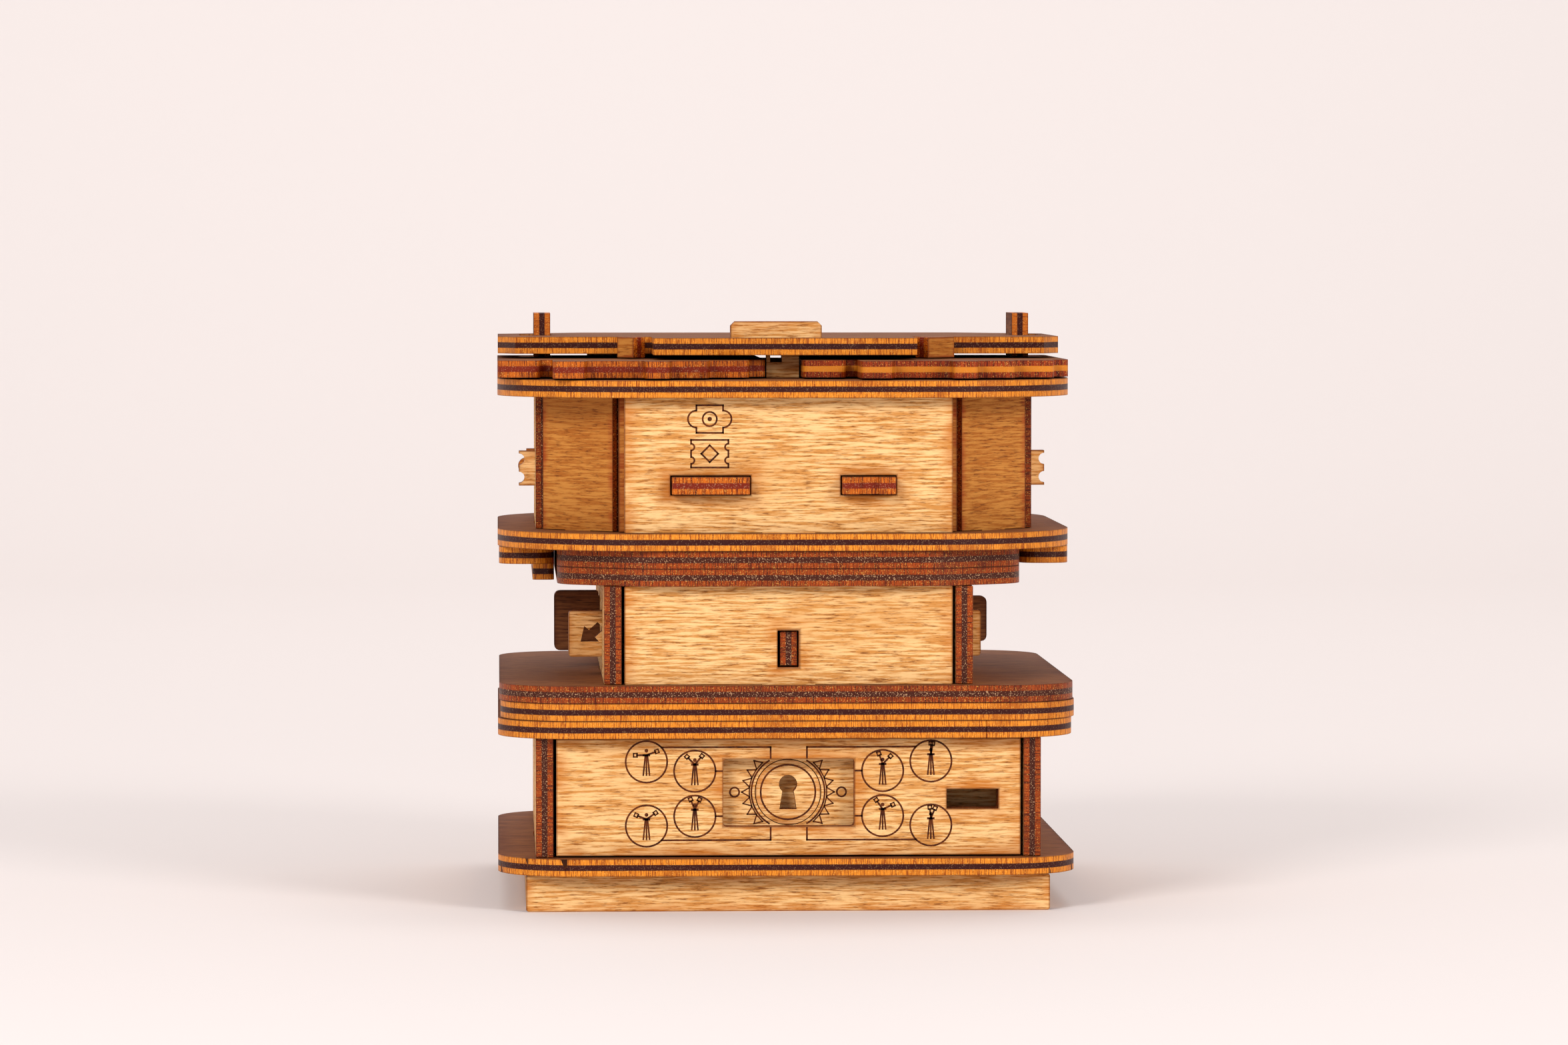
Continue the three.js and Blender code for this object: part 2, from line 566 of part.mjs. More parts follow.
upright("centre_upright", withHoles(centreUpright, [daylight]), { y: CENTRE.y });

// Short diagonal blocks fill the inner corners of the top plate.
const blockLow = armZ + THICK + RUN;
const block = (half) => rectangle(-half, blockLow, half, topFaceZ);
upright("left_post", block(2.6), { x: -36.2, y: -30.6, turn: -quarter }, amber);
upright("right_post", block(4.6), { x: 36.4, y: -31.3, turn: quarter }, amber);

// The rear spacer carries the back of the top plate, and is cut low in the middle.
const spacerLow = armZ + 3;
const rearSpacer = outline([
  [-44, centreFoot], [44, centreFoot], [44, shoulderZ], [12, shoulderZ],
  [12, spacerLow], [-12, spacerLow], [-12, shoulderZ], [-44, shoulderZ],
]);
upright("rear_spacer", rearSpacer, { y: 42, turn: back });

export default box;
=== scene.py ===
import math

import bmesh
import bpy
from mathutils import Matrix, Vector


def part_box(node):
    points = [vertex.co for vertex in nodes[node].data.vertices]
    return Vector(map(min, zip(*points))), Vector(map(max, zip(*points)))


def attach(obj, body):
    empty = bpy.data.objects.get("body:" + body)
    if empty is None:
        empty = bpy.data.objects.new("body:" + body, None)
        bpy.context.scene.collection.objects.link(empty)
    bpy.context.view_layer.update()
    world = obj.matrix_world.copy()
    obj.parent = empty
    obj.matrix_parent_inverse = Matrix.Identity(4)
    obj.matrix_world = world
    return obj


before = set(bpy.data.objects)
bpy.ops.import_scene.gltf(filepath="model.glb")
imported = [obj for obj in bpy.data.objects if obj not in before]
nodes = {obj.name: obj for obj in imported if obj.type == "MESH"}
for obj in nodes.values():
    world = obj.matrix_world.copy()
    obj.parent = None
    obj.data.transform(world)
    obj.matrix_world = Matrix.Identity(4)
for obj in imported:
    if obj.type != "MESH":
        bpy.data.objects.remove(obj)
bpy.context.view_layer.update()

# ---------------------------------------------------------------------------------------------
# Foot: four birch boards on edge under the base plate, with their face grain along the table.
# They are butted and glued at the corners, and their own corners are slightly eased.
# ---------------------------------------------------------------------------------------------


class Link:
    """A node's output. Its operators add Math nodes."""

    def __init__(self, shader, socket):
        self.shader = shader
        self.socket = socket

    def _with(self, operation, *others):
        return self.shader.maths(operation, self, *others)

    def __add__(self, other):
        return self._with("ADD", other)

    def __sub__(self, other):
        return self._with("SUBTRACT", other)

    def __mul__(self, other):
        return self._with("MULTIPLY", other)

    def __rsub__(self, other):
        return self.shader.maths("SUBTRACT", other, self)

    def __abs__(self):
        return self._with("ABSOLUTE")

    __radd__ = __add__
    __rmul__ = __mul__

    def above(self, level):
        return self._with("GREATER_THAN", level)

    def least(self, other):
        return self._with("MINIMUM", other)

    def most(self, other):
        return self._with("MAXIMUM", other)

    def between(self, low, high):
        """0 at low, 1 at high, with soft ends. Low may be the greater."""
        settings = {"interpolation_type": "SMOOTHSTEP"}
        sockets = {"Value": self, "From Min": low, "From Max": high}
        made = self.shader.node("ShaderNodeMapRange", settings, sockets)
        return Link(self.shader, made.outputs[0])


class Shader:
    """One material's tree. Its node method makes every other kind of node."""

    def __init__(self, name):
        self.material = bpy.data.materials.new(name)
        self.material.use_nodes = True
        self.tree = self.material.node_tree
        self.surface = self.tree.nodes["Principled BSDF"]
        self.surface.inputs["Specular IOR Level"].default_value = 0.22
        place = self.node("ShaderNodeTexCoord")
        self.place = Link(self, place.outputs["Object"])
        self.facing = Link(self, place.outputs["Normal"])

    def feed(self, socket, value):
        if isinstance(value, Link):
            self.tree.links.new(value.socket, socket)
        else:
            socket.default_value = value

    def node(self, kind, settings=None, sockets=None):
        made = self.tree.nodes.new(kind)
        for key, value in (settings or {}).items():
            setattr(made, key, value)
        for key, value in (sockets or {}).items():
            self.feed(made.inputs[key], value)
        return made

    def maths(self, operation, *values):
        made = self.node("ShaderNodeMath", {"operation": operation}, dict(enumerate(values)))
        return Link(self, made.outputs[0])

    def along(self, vector, axis):
        sockets = {0: vector, 1: tuple(axis)}
        made = self.node("ShaderNodeVectorMath", {"operation": "DOT_PRODUCT"}, sockets)
        return Link(self, made.outputs["Value"])

    def combine(self, x, y, z):
        made = self.node("ShaderNodeCombineXYZ", None, {0: x, 1: y, 2: z})
        return Link(self, made.outputs[0])

    def noise(self, vector, detail=2.0, roughness=0.5, scale=1.0):
        sockets = {"Vector": vector, "Scale": scale, "Detail": detail, "Roughness": roughness}
        return Link(self, self.node("ShaderNodeTexNoise", None, sockets).outputs["Fac"])

    def mix(self, amount, first, second):
        sockets = {"Factor": amount, 6: first, 7: second}
        made = self.node("ShaderNodeMix", {"data_type": "RGBA"}, sockets)
        return Link(self, made.outputs[2])

    def finish(self, colour, roughness, height, strength, distance):
        self.feed(self.surface.inputs["Base Color"], colour)
        self.feed(self.surface.inputs["Roughness"], roughness)
        sockets = {"Height": height, "Strength": strength, "Distance": distance}
        bump = self.node("ShaderNodeBump", None, sockets)
        self.feed(self.surface.inputs["Normal"], Link(self, bump.outputs[0]))
        return self.material


def rgb(red, green, blue):
    """A screen colour from 0 to 255, as the linear colour that a socket takes."""
    return tuple((value / 255) ** 2.2 for value in (red, green, blue)) + (1,)


# The birch is ply of three layers, cut by laser. Its faces have fine flecks along the grain and
# an amber halo by each cut. Its edges show golden plies round a burnt one, or burnt plies round
# a speckled one where the sheet lies the other way.
X, Y, Z = Vector((1, 0, 0)), Vector((0, 1, 0)), Vector((0, 0, 1))
PALE_FACE = {
    "light": rgb(248, 202, 138),
    "middle": rgb(206, 140, 70),
    "fleck": rgb(112, 58, 20),
    "halo": rgb(190, 104, 22),
}
DARK_EDGE = {
    "outer": rgb(158, 66, 14), "tick": rgb(84, 30, 6), "core": rgb(68, 28, 12), "speck": 0.7,
}
ON_FACE = 0.7  # the least part of a face's normal that points through the sheet

# Marks per metre, along the grain and across it
FINE_FLECKS, STREAKS, CLOUDS, HALO_WANDER = (420, 3000), (130, 1900), (14, 60), (120, 260)
TICKS_ALONG_EDGE, TICKS_THROUGH_SHEET = 4200, 300
GRIT, SCORCH = 3400, 95
PLY_SHIFT = 40  # sets the flecks of the two faces apart
CORE_WANDER = 0.0002
HALO_REACH, BOARD_HALO = 0.0042, 0.0025
CHAR_REACH = 0.0005
CORE_HALF, CORE_BLUR = 0.00065, 0.0001  # the middle ply
RIM_START, RIM_END = 0.00165, 0.00195  # from the sheet's mid depth
GLINT, CORE_SPECK, RIM_BURN = rgb(255, 192, 92), rgb(222, 176, 132), rgb(70, 26, 14)
GRAIN_STRENGTH, GRAIN_DEPTH = 0.35, 0.00012


def span(node, axis):
    """Lowest and highest place of a CAD node along an axis."""
    reach = [vertex.co.dot(axis) for vertex in nodes[node].data.vertices]
    return min(reach), max(reach)


def birch(node, through, grain, face, edge, seed, cuts=(), halo_reach=HALO_REACH):
    """A sheet's material. Through is its thickness direction, and grain runs along its face.
    Cuts are rectangles on the face, as (low, low, high, high), that have a halo of their own.
    The seed moves the grain, so that no two sheets match."""
    across = through.cross(grain)
    shader = Shader(node + "_birch")
    place = shader.place
    u = shader.along(place, grain)
    v = shader.along(place, across)
    depth = shader.along(place, through)
    on_face = abs(shader.along(shader.facing, through)).above(ON_FACE)

    # Faces: long flecks over slow clouds
    def spread(marks, offset, third):
        return shader.combine(u * marks[0] + offset, v * marks[1], third)

    fine = shader.noise(spread(FINE_FLECKS, seed, depth * PLY_SHIFT + seed), 3.0, 0.6)
    streak = shader.noise(spread(STREAKS, seed, seed), 4.0, 0.65)
    cloud = shader.noise(spread(CLOUDS, seed, seed), 2.0, 0.5)
    body = shader.mix(streak.between(0.4, 0.6), face["light"], face["middle"])
    body = shader.mix(cloud.between(0.45, 0.75) * 0.5, body, face["middle"])
    fleck = fine.between(0.5, 0.66) * streak.between(0.36, 0.6)
    body = shader.mix(fleck * 0.75, body, face["fleck"])

    # The halo beside the outline and beside each cut
    u0, u1 = span(node, grain)
    v0, v1 = span(node, across)
    inside = (u - u0).least(u1 - u).least((v - v0).least(v1 - v))
    for low_u, low_v, high_u, high_v in cuts:
        outside = (low_u - u).most(u - high_u).most((low_v - v).most(v - high_v))
        inside = inside.least(outside)
    wander = shader.noise(spread(HALO_WANDER, 0.0, seed), 2.0, 0.5)
    halo = inside.between(halo_reach, 0.0) * wander.between(0.25, 0.75)
    body = shader.mix(halo * 0.75, body, face["halo"])
    burnt = inside.between(CHAR_REACH, 0.0)
    body = shader.mix(burnt * 0.7, body, face["fleck"])

    # Edges: ticks run through the thickness, and the core wanders a little
    d0, d1 = span(node, through)
    middle = (d0 + d1) / 2
    fewer = TICKS_ALONG_EDGE - TICKS_THROUGH_SHEET
    squeeze = tuple(TICKS_ALONG_EDGE - fewer * abs(part) for part in through)
    stretch = shader.node("ShaderNodeVectorMath", {"operation": "MULTIPLY"}, {0: place, 1: squeeze})
    ticks = shader.noise(Link(shader, stretch.outputs[0]), 2.0, 0.6)
    grit = shader.noise(place, 2.0, 0.5, scale=GRIT)
    scorch = shader.noise(place, 3.0, 0.6, scale=SCORCH)
    outer = shader.mix(ticks.between(0.42, 0.66), edge["outer"], edge["tick"])
    outer = shader.mix(scorch.between(0.5, 0.72) * 0.6, outer, edge["tick"])
    outer = shader.mix(grit.between(0.56, 0.7) * 0.4, outer, GLINT)
    speck = grit.between(0.56, 0.68) * (0.15 + 0.6 * edge["speck"])
    core = shader.mix(speck, edge["core"], CORE_SPECK)
    from_core = abs(depth - middle) + (scorch - 0.5) * CORE_WANDER
    bands = shader.mix(from_core.between(CORE_HALF + CORE_BLUR, CORE_HALF - CORE_BLUR), outer, core)
    rim = abs(depth - middle).between(RIM_START, RIM_END)
    bands = shader.mix(rim * 0.55, bands, RIM_BURN)

    colour = shader.mix(on_face, bands, body)
    roughness = 0.5 + on_face * 0.12 + fine * 0.12 - (1 - on_face) * ticks * 0.2
    height = on_face * (fine * 0.6 + streak * 0.4) + (1 - on_face) * (ticks * 0.8 + grit * 0.3)
    return shader.finish(colour, roughness, height, GRAIN_STRENGTH, GRAIN_DEPTH)


def dress(node, material):
    """Gives a CAD sheet its material and softens its cut corners by a hair."""
    sheet = nodes[node]
    sheet.data.materials.clear()
    sheet.data.materials.append(material)
    weld = sheet.modifiers.new("weld", "WELD")
    weld.merge_threshold = 0.00001
    soften = sheet.modifiers.new("soften", "BEVEL")
    soften.width = 0.00014
    soften.segments = 2
    soften.limit_method = "ANGLE"
    soften.angle_limit = math.radians(50)


for seed, name in enumerate(("plinth_front", "plinth_back")):
    dress(name, birch(name, Y, X, PALE_FACE, DARK_EDGE, 3.1 + seed, halo_reach=BOARD_HALO))
for seed, name in enumerate(("plinth_left", "plinth_right")):
    dress(name, birch(name, X, Y, PALE_FACE, DARK_EDGE, 5.7 + seed, halo_reach=BOARD_HALO))

# ---------------------------------------------------------------------------------------------
# Plates: sheets of the same birch that lie flat between the tiers, glued in stacks and stained
# darker on their faces. The top deck sheet and the two neck sheets are turned, so their outer
# plies are the burnt ones.
# ---------------------------------------------------------------------------------------------
PLATE_FACE = {
    "light": rgb(148, 92, 50),
    "middle": rgb(112, 64, 34),
    "fleck": rgb(70, 36, 20),
    "halo": rgb(96, 42, 16),
}
GOLD_EDGE = {
    "outer": rgb(232, 140, 40), "tick": rgb(150, 70, 14), "core": rgb(58, 16, 8), "speck": 0.0,
}
GOLD_PLATES = (
    "base_plate", "deck_sheet_bottom", "deck_sheet_corner", "deck_sheet_middle",
    "upper_floor", "upper_ceiling", "top_plate", "left_cleat", "right_cleat", "left_step",
)
DARK_PLATES = ("deck_sheet_top", "neck_sheet_lower", "neck_sheet_upper")
for seed, name in enumerate(GOLD_PLATES):
    dress(name, birch(name, Z, X, PLATE_FACE, GOLD_EDGE, 11.3 + 2.7 * seed))
for seed, name in enumerate(DARK_PLATES):
    dress(name, birch(name, Z, X, PLATE_FACE, DARK_EDGE, 47.9 + 2.7 * seed))

# ---------------------------------------------------------------------------------------------
# Side walls, ribs and tray sides: birch uprights that run from front to back, glued between the
# plates or in the drawer. Their burnt front edges frame the pale panels.
# ---------------------------------------------------------------------------------------------
SIDE_SHEETS = (
    "lower_left_wall", "lower_right_wall", "middle_left_wall", "middle_right_wall",
    "middle_rib_left", "middle_rib_right", "upper_left_wall", "upper_right_wall",
    "drawer_left_side", "drawer_right_side",
)
for seed, name in enumerate(SIDE_SHEETS):
    dress(name, birch(name, X, Y, PALE_FACE, DARK_EDGE, 71.3 + 3.1 * seed))

# ---------------------------------------------------------------------------------------------
# Cross panels: birch uprights that run from side to side, glued behind the fronts and at the
# back. They guide the sliding pieces and close the tiers. The drawer's bottom lies flat.
# ---------------------------------------------------------------------------------------------
AMBER_FACE = {
    "light": rgb(208, 138, 62),
    "middle": rgb(176, 102, 36),
    "fleck": rgb(104, 52, 16),
    "halo": rgb(152, 40, 8),
}
CROSS_SHEETS = (
    "lower_back_wall", "drawer_inner_wall", "drawer_back", "middle_back", "tongue_guide",
    "upper_back", "rear_spacer", "centre_upright",
)
for seed, name in enumerate(CROSS_SHEETS):
    dress(name, birch(name, Y, X, PALE_FACE, DARK_EDGE, 107.9 + 3.3 * seed))
dress("bar_guide", birch("bar_guide", Y, X, AMBER_FACE, DARK_EDGE, 139.1))
dress("drawer_bottom", birch("drawer_bottom", Z, X, PALE_FACE, GOLD_EDGE, 141.7))

# ---------------------------------------------------------------------------------------------
# Front panels: birch sheets glued in their tiers, and the lock's disc and cam, which turn. They
# are left pale, and the cuts through them have halos. A cut is (low x, low z, high x, high z).
# ---------------------------------------------------------------------------------------------
def front(node, seed, cuts=()):
    # Through points out of the front, so that the axis across the grain points up.
    dress(node, birch(node, -Y, X, PALE_FACE, DARK_EDGE, seed, cuts))


disc_low, disc_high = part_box("lock_disc")
LOCK_Z = (disc_low.z + disc_high.z) / 2
DRAWER_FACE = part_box("drawer_front")[0].y
WINDOW_HALF, WINDOW_BOTTOM, WINDOW_TOP = 0.0148, 0.0192, 0.0345
WINDOW = (-WINDOW_HALF, WINDOW_BOTTOM, WINDOW_HALF, WINDOW_TOP)
FLAT_SLOT = (0.0357, 0.0231, 0.0474, 0.0276)
BAR_WINDOWS = ((-0.02665, 0.094, -0.00855, 0.0985), (0.0117, 0.094, 0.0243, 0.0985))
front("drawer_front", 151.3, (WINDOW, FLAT_SLOT))
front("lock_panel", 155.9, (FLAT_SLOT,))
front("lock_disc", 158.3)
front("lock_cam", 160.7)
tongue_low, tongue_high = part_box("centre_tongue")
TONGUE_PLAY = 0.0005
tongue_window = (
    tongue_low.x - TONGUE_PLAY, tongue_low.z - TONGUE_PLAY,
    tongue_high.x + TONGUE_PLAY, tongue_high.z + TONGUE_PLAY,
)
front("middle_front", 163.1, (tongue_window,))
front("upper_front", 167.7, BAR_WINDOWS)

# ---------------------------------------------------------------------------------------------
# Facets and posts: the four boards that turn the corners of the upper tier, and the two small
# posts under the top plate, tabbed and glued. Their faces are coloured a darker orange than the
# fronts, and the laser has burnt them red beside their upright cuts.
# ---------------------------------------------------------------------------------------------
FACET_HALO, POST_HALO = 0.0022, 0.001
for seed, (name, side_x, side_y) in enumerate(
    (
        ("facet_front_left", -1, -1),
        ("facet_front_right", 1, -1),
        ("facet_back_left", -1, 1),
        ("facet_back_right", 1, 1),
    )
):
    outward = Vector((side_x, side_y, 0)).normalized()
    along = Vector((-side_y, side_x, 0)).normalized()
    stained = birch(
        name, outward, along, AMBER_FACE, DARK_EDGE, 181.3 + 3.7 * seed, halo_reach=FACET_HALO
    )
    dress(name, stained)
MIXED_EDGE = {
    "outer": rgb(200, 100, 20), "tick": rgb(100, 32, 6), "core": rgb(118, 34, 8), "speck": 0.2,
}
for name, side in (("left_post", -1), ("right_post", 1)):
    outward = Vector((side, -1, 0)).normalized()
    along = Vector((1, side, 0)).normalized()
    stained = birch(
        name, outward, along, AMBER_FACE, MIXED_EDGE, 199.1 + side, halo_reach=POST_HALO
    )
    dress(name, stained)

# ---------------------------------------------------------------------------------------------
# Sliding bars: small birch sheets, scorched by the laser, that slide in slots of the panels.
# The flat ones show their edges at the front, and the upright ones show their faces beside the
# walls. The knob bar's dark face is painted shade, for the shade it lies in behind the arrow cut.
# ---------------------------------------------------------------------------------------------
# Painted shade: the knob bar's face is made dark for the shade it lies in behind the arrow cut.
KNOB_SHADE_FACE = {
    "light": rgb(128, 80, 46),
    "middle": rgb(98, 56, 30),
    "fleck": rgb(56, 28, 16),
    "halo": rgb(76, 32, 14),
}
for seed, name in enumerate(("front_bar", "notched_bar")):
    dress(name, birch(name, Z, Y, PLATE_FACE, MIXED_EDGE, 211.3 + seed))
dress("centre_tongue", birch("centre_tongue", X, Y, PLATE_FACE, DARK_EDGE, 217.9))
BAR_HALO = 0.0015
for seed, (name, face) in enumerate(
    (
        ("arrow_bar", PALE_FACE),
        ("front_cross_bar", PALE_FACE),
        # the knob bar takes the painted shade face
        ("knob_bar", KNOB_SHADE_FACE),
        ("rear_cross_bar", AMBER_FACE),
    )
):
    dress(name, birch(name, -Y, X, face, DARK_EDGE, 223.1 + 2.9 * seed, halo_reach=BAR_HALO))

# ---------------------------------------------------------------------------------------------
# Wavy arms and pegs: birch with edges burnt nearly to the core. Each peg is glued upright in its
# arm, and moves it. The right arm's golden ply is the middle one.
# ---------------------------------------------------------------------------------------------
TURNED_EDGE = {
    "outer": rgb(156, 58, 12), "tick": rgb(84, 24, 8), "core": rgb(208, 124, 34), "speck": 0.0,
}
dress("left_arm", birch("left_arm", Z, X, PLATE_FACE, MIXED_EDGE, 241.3))
dress("right_arm", birch("right_arm", Z, X, PLATE_FACE, TURNED_EDGE, 245.9))
PEG_EDGE = GOLD_EDGE | {"outer": rgb(196, 104, 30)}
for seed, name in enumerate(("left_peg", "right_peg")):
    dress(name, birch(name, X, Y, PLATE_FACE, PEG_EDGE, 251.7 + seed))

# ---------------------------------------------------------------------------------------------
# Laser engraving: shallow brown lines on the fronts. Each line is a hair of burnt wood that
# lies in the surface, so it is modelled as a thin closed strip.
# ---------------------------------------------------------------------------------------------
LINE_WIDTH, FINE_LINE = 0.0004, 0.0003
LINE_RISE = 0.00002


def burnt_wood():
    shader = Shader("engraved_line")
    smoke = shader.noise(shader.place, 3.0, 0.6, scale=900.0)
    colour = shader.mix(smoke.between(0.3, 0.7), rgb(58, 26, 12), rgb(104, 52, 22))
    return shader.finish(colour, 0.7 + smoke * 0.2, smoke, 0.3, 0.0001)


BURNT = burnt_wood()


class Engraving:
    """Strips on an upright front whose face is at face_y. Places are (x, z) in metres."""

    def __init__(self, name, face_y):
        self.name = name
        self.y = face_y
        self.mesh = bmesh.new()

    def line(self, start, end, width=LINE_WIDTH):
        a, b = Vector((start[0], self.y, start[1])), Vector((end[0], self.y, end[1]))
        run = b - a
        turn = Matrix.Rotation(-math.atan2(run.z, run.x), 4, "Y")
        size = Matrix.Diagonal((run.length + width, 2 * LINE_RISE, width, 1))
        middle = Matrix.Translation((a + b) / 2)
        bmesh.ops.create_cube(self.mesh, size=1, matrix=middle @ turn @ size)

    def ring(self, centre, radius, width=LINE_WIDTH, start=0.0, sweep=2 * math.pi, steps=40):
        """An arc that runs anticlockwise, as seen from the front, from the angle start."""
        corners = [(dr, dy) for dr, dy in ((-1, -1), (1, -1), (1, 1), (-1, 1))]
        made = []
        for dr, dy in corners:
            reach = radius + dr * width / 2
            x, z = centre[0] + reach * math.cos(start), centre[1] + reach * math.sin(start)
            made.append(self.mesh.verts.new((x, self.y + dy * LINE_RISE, z)))
        full = sweep > 2 * math.pi - 0.01
        geometry = [self.mesh.edges.new((made[i], made[(i + 1) % 4])) for i in range(4)] + made
        if not full:
            geometry.append(self.mesh.faces.new(made))
        bmesh.ops.spin(
            self.mesh, geom=geometry, cent=(centre[0], self.y, centre[1]), axis=(0, -1, 0),
            angle=sweep, steps=steps, use_merge=full,
        )

    def disc(self, centre, radius):
        turn = Matrix.Rotation(math.pi / 2, 4, "X")
        place = Matrix.Translation((centre[0], self.y, centre[1]))
        bmesh.ops.create_cone(
            self.mesh, cap_ends=True, segments=16, radius1=radius, radius2=radius,
            depth=2 * LINE_RISE, matrix=place @ turn,
        )

    def path(self, points, closed=True, width=LINE_WIDTH):
        ends = points[1:] + points[:1] if closed else points[1:]
        for a, b in zip(points, ends):
            self.line(a, b, width)

    def done(self, body):
        bmesh.ops.remove_doubles(self.mesh, verts=self.mesh.verts, dist=1e-7)
        bmesh.ops.recalc_face_normals(self.mesh, faces=self.mesh.faces)
        data = bpy.data.meshes.new(self.name)
        self.mesh.to_mesh(data)
        self.mesh.free()
        piece = bpy.data.objects.new(self.name, data)
        bpy.context.scene.collection.objects.link(piece)
        data.materials.append(BURNT)
        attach(piece, body)


# ---------------------------------------------------------------------------------------------
# Signal roundels: four on each side of the lock, each a ring round a small figure with two
# flags. The arms step round by a fixed angle from one roundel to the next.
# ---------------------------------------------------------------------------------------------
ROUNDEL_R = 0.00468
OUTER_X, OUTER_RISE = 0.0321, 0.00725
INNER_X, INNER_RISE = 0.0212, 0.0051
roundels = Engraving("signal_roundels", DRAWER_FACE)
FIGURE = {
    "head": 0.00042, "neck": 0.0021, "shoulder": 0.0015, "shoulder_half": 0.0006,
    "hem_half": 0.0007, "waist": 0.35, "foot": -0.0030, "arm": 0.0021, "flag": 0.0008,
}
GOWN_LINE, SHOULDER_LINE, ARM_LINE = 0.00036, 0.0005, 0.00042


def signaller(centre, left_angle, right_angle):
    """A gowned figure whose arms hold square flags out at the two angles."""
    x, z = centre
    roundels.disc((x, z + FIGURE["neck"] + FIGURE["head"]), FIGURE["head"])
    shoulder = z + FIGURE["shoulder"]
    for fold in (-1, 0, 1):
        hem = fold * FIGURE["hem_half"]
        top, foot = (x + hem * FIGURE["waist"], shoulder), (x + hem, z + FIGURE["foot"])
        roundels.line(top, foot, GOWN_LINE)
    wide = FIGURE["shoulder_half"]
    roundels.line((x - wide, shoulder), (x + wide, shoulder), SHOULDER_LINE)
    for angle in (left_angle, right_angle):
        reach = Vector((math.cos(angle), math.sin(angle)))
        hand = Vector((x, shoulder)) + reach * FIGURE["arm"]
        roundels.line((x, shoulder), tuple(hand), ARM_LINE)
        flag = FIGURE["flag"] / 2
        middle = hand + reach * flag
        side = Vector((-reach.y, reach.x)) * flag
        run = reach * flag
        near, far = middle - run, middle + run
        square = [near - side, far - side, far + side, near + side]
        roundels.path([tuple(corner) for corner in square], width=FINE_LINE)


places = [
    (side * x, LOCK_Z + lift * rise)
    for side in (-1, 1)
    for x, rise in ((OUTER_X, OUTER_RISE), (INNER_X, INNER_RISE))
    for lift in (1, -1)
]
for index, centre in enumerate(places):
    roundels.ring(centre, ROUNDEL_R)
    step = math.radians(45 * index)
    signaller(centre, math.pi - step / 2, math.radians(20) + step / 3)

# Engraved rails join the roundels to the lock.
RAIL_END_X, RAIL_RISE, RAIL_START_IN, RAIL_GAP = 0.0041, 0.0105, 0.0034, 0.0003
for side in (-1, 1):
    for lift, window_z in ((1, WINDOW_TOP), (-1, WINDOW_BOTTOM)):
        rail_z = LOCK_Z + lift * RAIL_RISE
        start = (side * (OUTER_X - RAIL_START_IN), rail_z)
        corner = (side * RAIL_END_X, rail_z)
        end = (side * RAIL_END_X, window_z + lift * RAIL_GAP)
        roundels.path([start, corner, end], closed=False)
        link_z = LOCK_Z + lift * INNER_RISE
        link_start, link_end = side * (INNER_X - ROUNDEL_R), side * (WINDOW_HALF + RAIL_GAP)
        roundels.line((link_start, link_z), (link_end, link_z))
roundels.done("drawer")

# ---------------------------------------------------------------------------------------------
# Lock face: on the panel behind the window, a ring cut off by the window and a row of small
# triangles on each side, with a ring for a screw head beyond them. One more ring is on the disc.
# ---------------------------------------------------------------------------------------------
LOCK_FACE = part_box("lock_panel")[0].y
lock_lines = Engraving("lock_rays", LOCK_FACE)
RING_R, RING_LIMIT = 0.0083, math.radians(60)
SCREW_X, SCREW_R, DISC_RING_R = 0.0121, 0.00105, 0.0062
RAY = {
    "inner": 0.0088, "outer": 0.0105, "half": math.radians(6.6), "count": 9,
    "reach": math.radians(57), "height_limit": 0.0075,
}
for side_angle in (0, math.pi):
    start = side_angle - RING_LIMIT
    lock_lines.ring((0, LOCK_Z), RING_R, start=start, sweep=2 * RING_LIMIT, steps=24)
    for index in range(RAY["count"]):
        angle = side_angle + RAY["reach"] * (2 * index / (RAY["count"] - 1) - 1)
        polar = (
            (RAY["inner"], angle - RAY["half"]),
            (RAY["outer"], angle),
            (RAY["inner"], angle + RAY["half"]),
        )
        corners = [(r * math.cos(a), LOCK_Z + r * math.sin(a)) for r, a in polar]
        if max(abs(z - LOCK_Z) for _, z in corners) < RAY["height_limit"]:
            lock_lines.path(corners, width=FINE_LINE)
for side in (-1, 1):
    lock_lines.ring((side * SCREW_X, LOCK_Z), SCREW_R, steps=20)
lock_lines.done("drawer")
disc_lines = Engraving("disc_ring", LOCK_FACE)
disc_lines.ring((0, LOCK_Z), DISC_RING_R)
disc_lines.done("lock")

# ---------------------------------------------------------------------------------------------
# Bar badges: two engraved outlines above the front bar. They show the end shapes of the two
# cross bars, one with lobes and one with notches, and each holds a plain mark.
# ---------------------------------------------------------------------------------------------
badges = Engraving("bar_badges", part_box("upper_front")[0].y)
BADGE_X, BADGE_RISE, LOBED_Z, NOTCHED_Z = -0.0178, 0.0031, 0.1112, 0.1034
LOBED_HALF, LOBE_R = 0.0030, 0.0019
NOTCHED_HALF, NOTCH_RISE, NOTCH_R = 0.0042, 0.0015, 0.00075
MARK_RING_R, MARK_DOT_R, DIAMOND_R = 0.0016, 0.0005, 0.0019


def badge_box(half, middle_z):
    """The top and bottom lines of a badge."""
    for lift in (-1, 1):
        z = middle_z + lift * BADGE_RISE
        badges.line((BADGE_X - half, z), (BADGE_X + half, z))


badge_box(LOBED_HALF, LOBED_Z)
for side in (-1, 1):
    edge = BADGE_X + side * LOBED_HALF
    for lift in (-1, 1):
        badges.line((edge, LOBED_Z + lift * BADGE_RISE), (edge, LOBED_Z + lift * LOBE_R))
    start = -math.pi / 2 if side > 0 else math.pi / 2
    badges.ring((edge, LOBED_Z), LOBE_R, start=start, sweep=math.pi, steps=16)
badges.ring((BADGE_X, LOBED_Z), MARK_RING_R, steps=24)
badges.disc((BADGE_X, LOBED_Z), MARK_DOT_R)

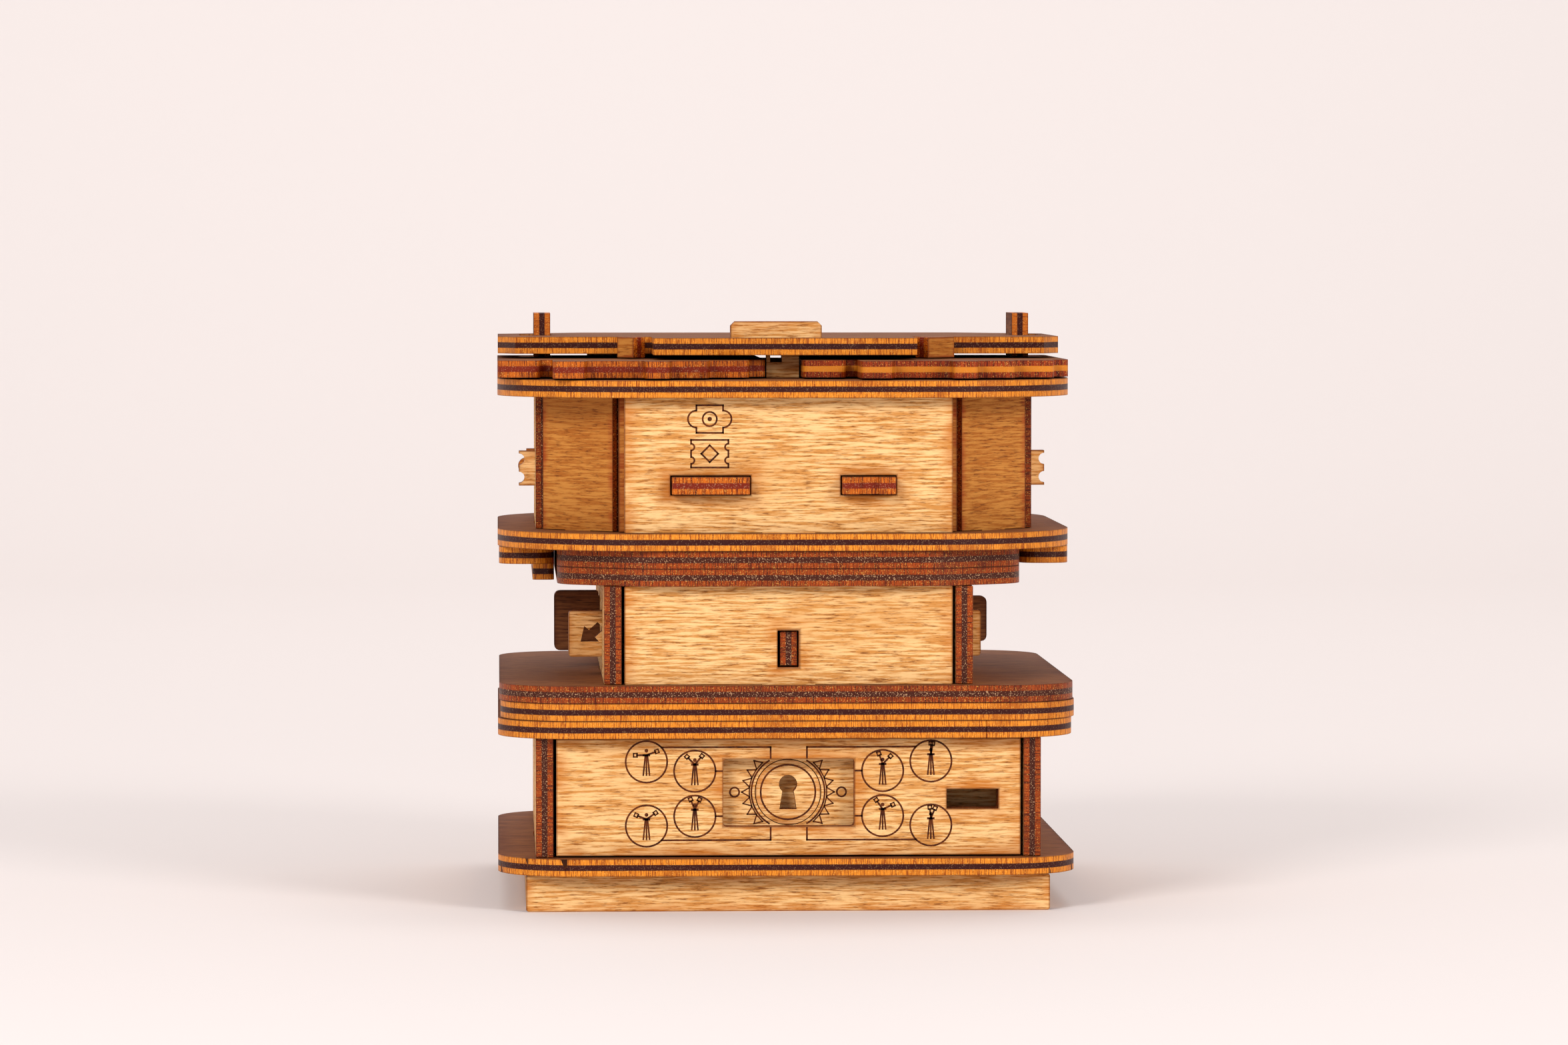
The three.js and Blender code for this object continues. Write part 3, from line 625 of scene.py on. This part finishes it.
badge_box(NOTCHED_HALF, NOTCHED_Z)
for side in (-1, 1):
    edge = BADGE_X + side * NOTCHED_HALF
    for lift in (-1, 1):
        notch = NOTCHED_Z + lift * NOTCH_RISE
        start = math.pi / 2 if side > 0 else -math.pi / 2
        badges.ring((edge, notch), NOTCH_R, start=start, sweep=math.pi, steps=12)
        badges.line((edge, NOTCHED_Z + lift * BADGE_RISE), (edge, notch + lift * NOTCH_R))
    tooth = NOTCH_RISE - NOTCH_R
    badges.line((edge, NOTCHED_Z - tooth), (edge, NOTCHED_Z + tooth))
diamond = [(0, DIAMOND_R), (DIAMOND_R, 0), (0, -DIAMOND_R), (-DIAMOND_R, 0)]
badges.path([(BADGE_X + x, NOTCHED_Z + z) for x, z in diamond])
badges.done("box")

# ---------------------------------------------------------------------------------------------
# Studio: a pale sweep of paper that rises behind the box, under broad soft lights.
# ---------------------------------------------------------------------------------------------
SWEEP = {"half": 3.0, "front": -2.2, "bend": 1.4, "radius": 0.9, "top": 2.6}
sweep_mesh = bmesh.new()
profile = [(SWEEP["front"], 0)]
BEND_STEPS = 16
for index in range(BEND_STEPS + 1):
    angle = math.pi / 2 * index / BEND_STEPS
    profile.append(
        (SWEEP["bend"] + SWEEP["radius"] * math.sin(angle), SWEEP["radius"] * (1 - math.cos(angle)))
    )
profile.append((SWEEP["bend"] + SWEEP["radius"], SWEEP["top"]))
rail = [sweep_mesh.verts.new((-SWEEP["half"], y, z)) for y, z in profile]
rail_edges = [sweep_mesh.edges.new(pair) for pair in zip(rail, rail[1:])]
made = bmesh.ops.extrude_edge_only(sweep_mesh, edges=rail_edges)
far = [item for item in made["geom"] if isinstance(item, bmesh.types.BMVert)]
bmesh.ops.translate(sweep_mesh, verts=far, vec=(2 * SWEEP["half"], 0, 0))
bmesh.ops.recalc_face_normals(sweep_mesh, faces=sweep_mesh.faces)
sweep_data = bpy.data.meshes.new("sweep")
sweep_mesh.to_mesh(sweep_data)
sweep_mesh.free()
for face in sweep_data.polygons:
    face.use_smooth = True
sweep = bpy.data.objects.new("sweep", sweep_data)
bpy.context.scene.collection.objects.link(sweep)
paper = Shader("paper")
paper.surface.inputs["Base Color"].default_value = rgb(238, 230, 226)
paper.surface.inputs["Roughness"].default_value = 0.9
sweep_data.materials.append(paper.material)

world = bpy.data.worlds.new("studio")
bpy.context.scene.world = world
world.use_nodes = True
world.node_tree.nodes["Background"].inputs["Color"].default_value = rgb(248, 246, 250)
world.node_tree.nodes["Background"].inputs["Strength"].default_value = 0.5


def soft_light(name, place, aim, size, power):
    data = bpy.data.lights.new(name, "AREA")
    data.size = size
    data.energy = power
    data.color = (1.0, 0.97, 0.96)
    lamp = bpy.data.objects.new(name, data)
    bpy.context.scene.collection.objects.link(lamp)
    lamp.location = place
    lamp.rotation_euler = (Vector(aim) - Vector(place)).to_track_quat("-Z", "Y").to_euler()


soft_light("key", (-0.8, -1.2, 0.8), (0, 0, 0.06), 0.5, 12)
soft_light("fill", (1.0, -1.1, 0.7), (0, 0, 0.06), 0.5, 10)
soft_light("backdrop", (0, 0.7, 2.2), (0, 2.2, 0.8), 1.6, 27)

# ---------------------------------------------------------------------------------------------
# Camera: a long lens just above the height of the top, in line with the box's left side.
# It looks slightly down and slightly to the right, so the left walls show as slivers.
# ---------------------------------------------------------------------------------------------
LENS_MM, SENSOR_MM = 151.1, 36
LOOKS_DOWN, LOOKS_RIGHT = math.radians(2.395), math.radians(2.494)
camera_data = bpy.data.cameras.new("camera")
camera_data.lens = LENS_MM
camera_data.sensor_width = SENSOR_MM
camera_data.clip_end = 20
camera = bpy.data.objects.new("camera", camera_data)
bpy.context.scene.collection.objects.link(camera)
camera.location = (-0.0655, -1.5405, 0.1498)
camera.rotation_euler = (math.pi / 2 - LOOKS_DOWN, 0, -LOOKS_RIGHT)
bpy.context.scene.camera = camera
bpy.context.scene.view_settings.view_transform = "Standard"
